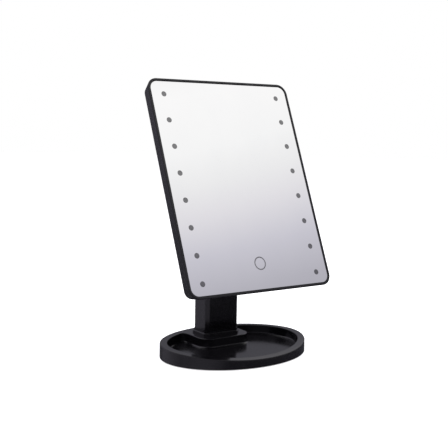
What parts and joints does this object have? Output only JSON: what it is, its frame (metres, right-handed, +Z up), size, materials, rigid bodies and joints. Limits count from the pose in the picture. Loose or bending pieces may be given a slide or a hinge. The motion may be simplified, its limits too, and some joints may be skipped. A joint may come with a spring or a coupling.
{
  "type": "lighted vanity mirror",
  "caption": "Tabletop vanity mirror with a tilting rectangular lighted head on a battery column that stands in a shallow oval tray base.",
  "frame": {"origin": "centre of the oval base, on the surface the mirror stands on", "axes": "+Z up, +X to the right of a user who faces the glass, +Y away from the user"},
  "size_m": [0.1664, 0.1176, 0.2698],
  "materials": {
    "black_shell": "satin black ABS",
    "black_inner": "plain black",
    "glass": "polished",
    "silvering": "silvered",
    "tape": "foam tape",
    "diffuser": "frosted film",
    "board": "white solder mask",
    "board_green": "green solder mask",
    "lamps": "phosphor",
    "chips": "moulded",
    "copper": "plain copper",
    "wire": "insulated",
    "steel": "zinc plated",
    "nylon": "natural nylon",
    "cells": "wrapped cell",
    "knob": "satin",
    "rubber": "matte"
  },
  "bodies": {
    "stand": {"column_housing": "black_shell", "column_front_panel": "black_shell", "column_collar": "black_shell", "base_tray": "black_shell", "hinge_caps": "black_shell", "base_bottom_plate": "black_inner", "battery_cradle": "black_inner", "power_board": "board_green", "switch_case": "chips", "inlet_tongue": "chips", "column_wiring": "wire", "hinge_axle": "steel", "hinge_flat_washer": "steel", "hinge_lock_washer": "steel", "hinge_nut": "steel", "panel_screws": "steel", "battery_springs": "steel", "battery_contacts": "steel", "inlet_shell": "steel", "base_screws": "steel", "column_screws": "steel", "hinge_friction_washers": "nylon", "battery_cells": "cells", "rubber_feet": "rubber"},
    "mirror_head": {"front_frame": "black_shell", "mirror_glass": "glass", "mirror_coating": "silvering", "glass_tape": "tape", "window_diffusers": "diffuser", "led_board_left": "board", "led_board_right": "board", "leds_left": "lamps", "leds_right": "lamps", "led_carrier_plate": "black_inner", "touch_electrode": "copper", "touch_board": "board_green", "touch_board_chips": "chips", "head_wiring": "wire", "rear_cover": "black_shell", "rear_cover_screws": "steel", "hinge_bracket": "black_shell", "hinge_sleeve": "nylon", "hinge_backing_plate": "steel", "hinge_bracket_screws": "steel"},
    "battery_cover": {"battery_cover": "black_shell"},
    "switch_knob": {"switch_knob": "knob"}
  },
  "joints": [
    {"name": "head_tilt", "type": "hinge", "parent": "stand", "child": "mirror_head", "pos_m": [0, 0.03227, 0.18869], "axis": [-1, 0, 0], "range_deg": [-22.88, 157.12]},
    {"name": "battery_cover_hinge", "type": "hinge", "parent": "stand", "child": "battery_cover", "pos_m": [0, 0.04359, 0.03998], "axis": [-1, 0, 0], "range_deg": [0, 75]},
    {"name": "switch_slide", "type": "slide", "parent": "stand", "child": "switch_knob", "axis": [1, 0, 0], "range_m": [0, 0.002]}
  ]
}
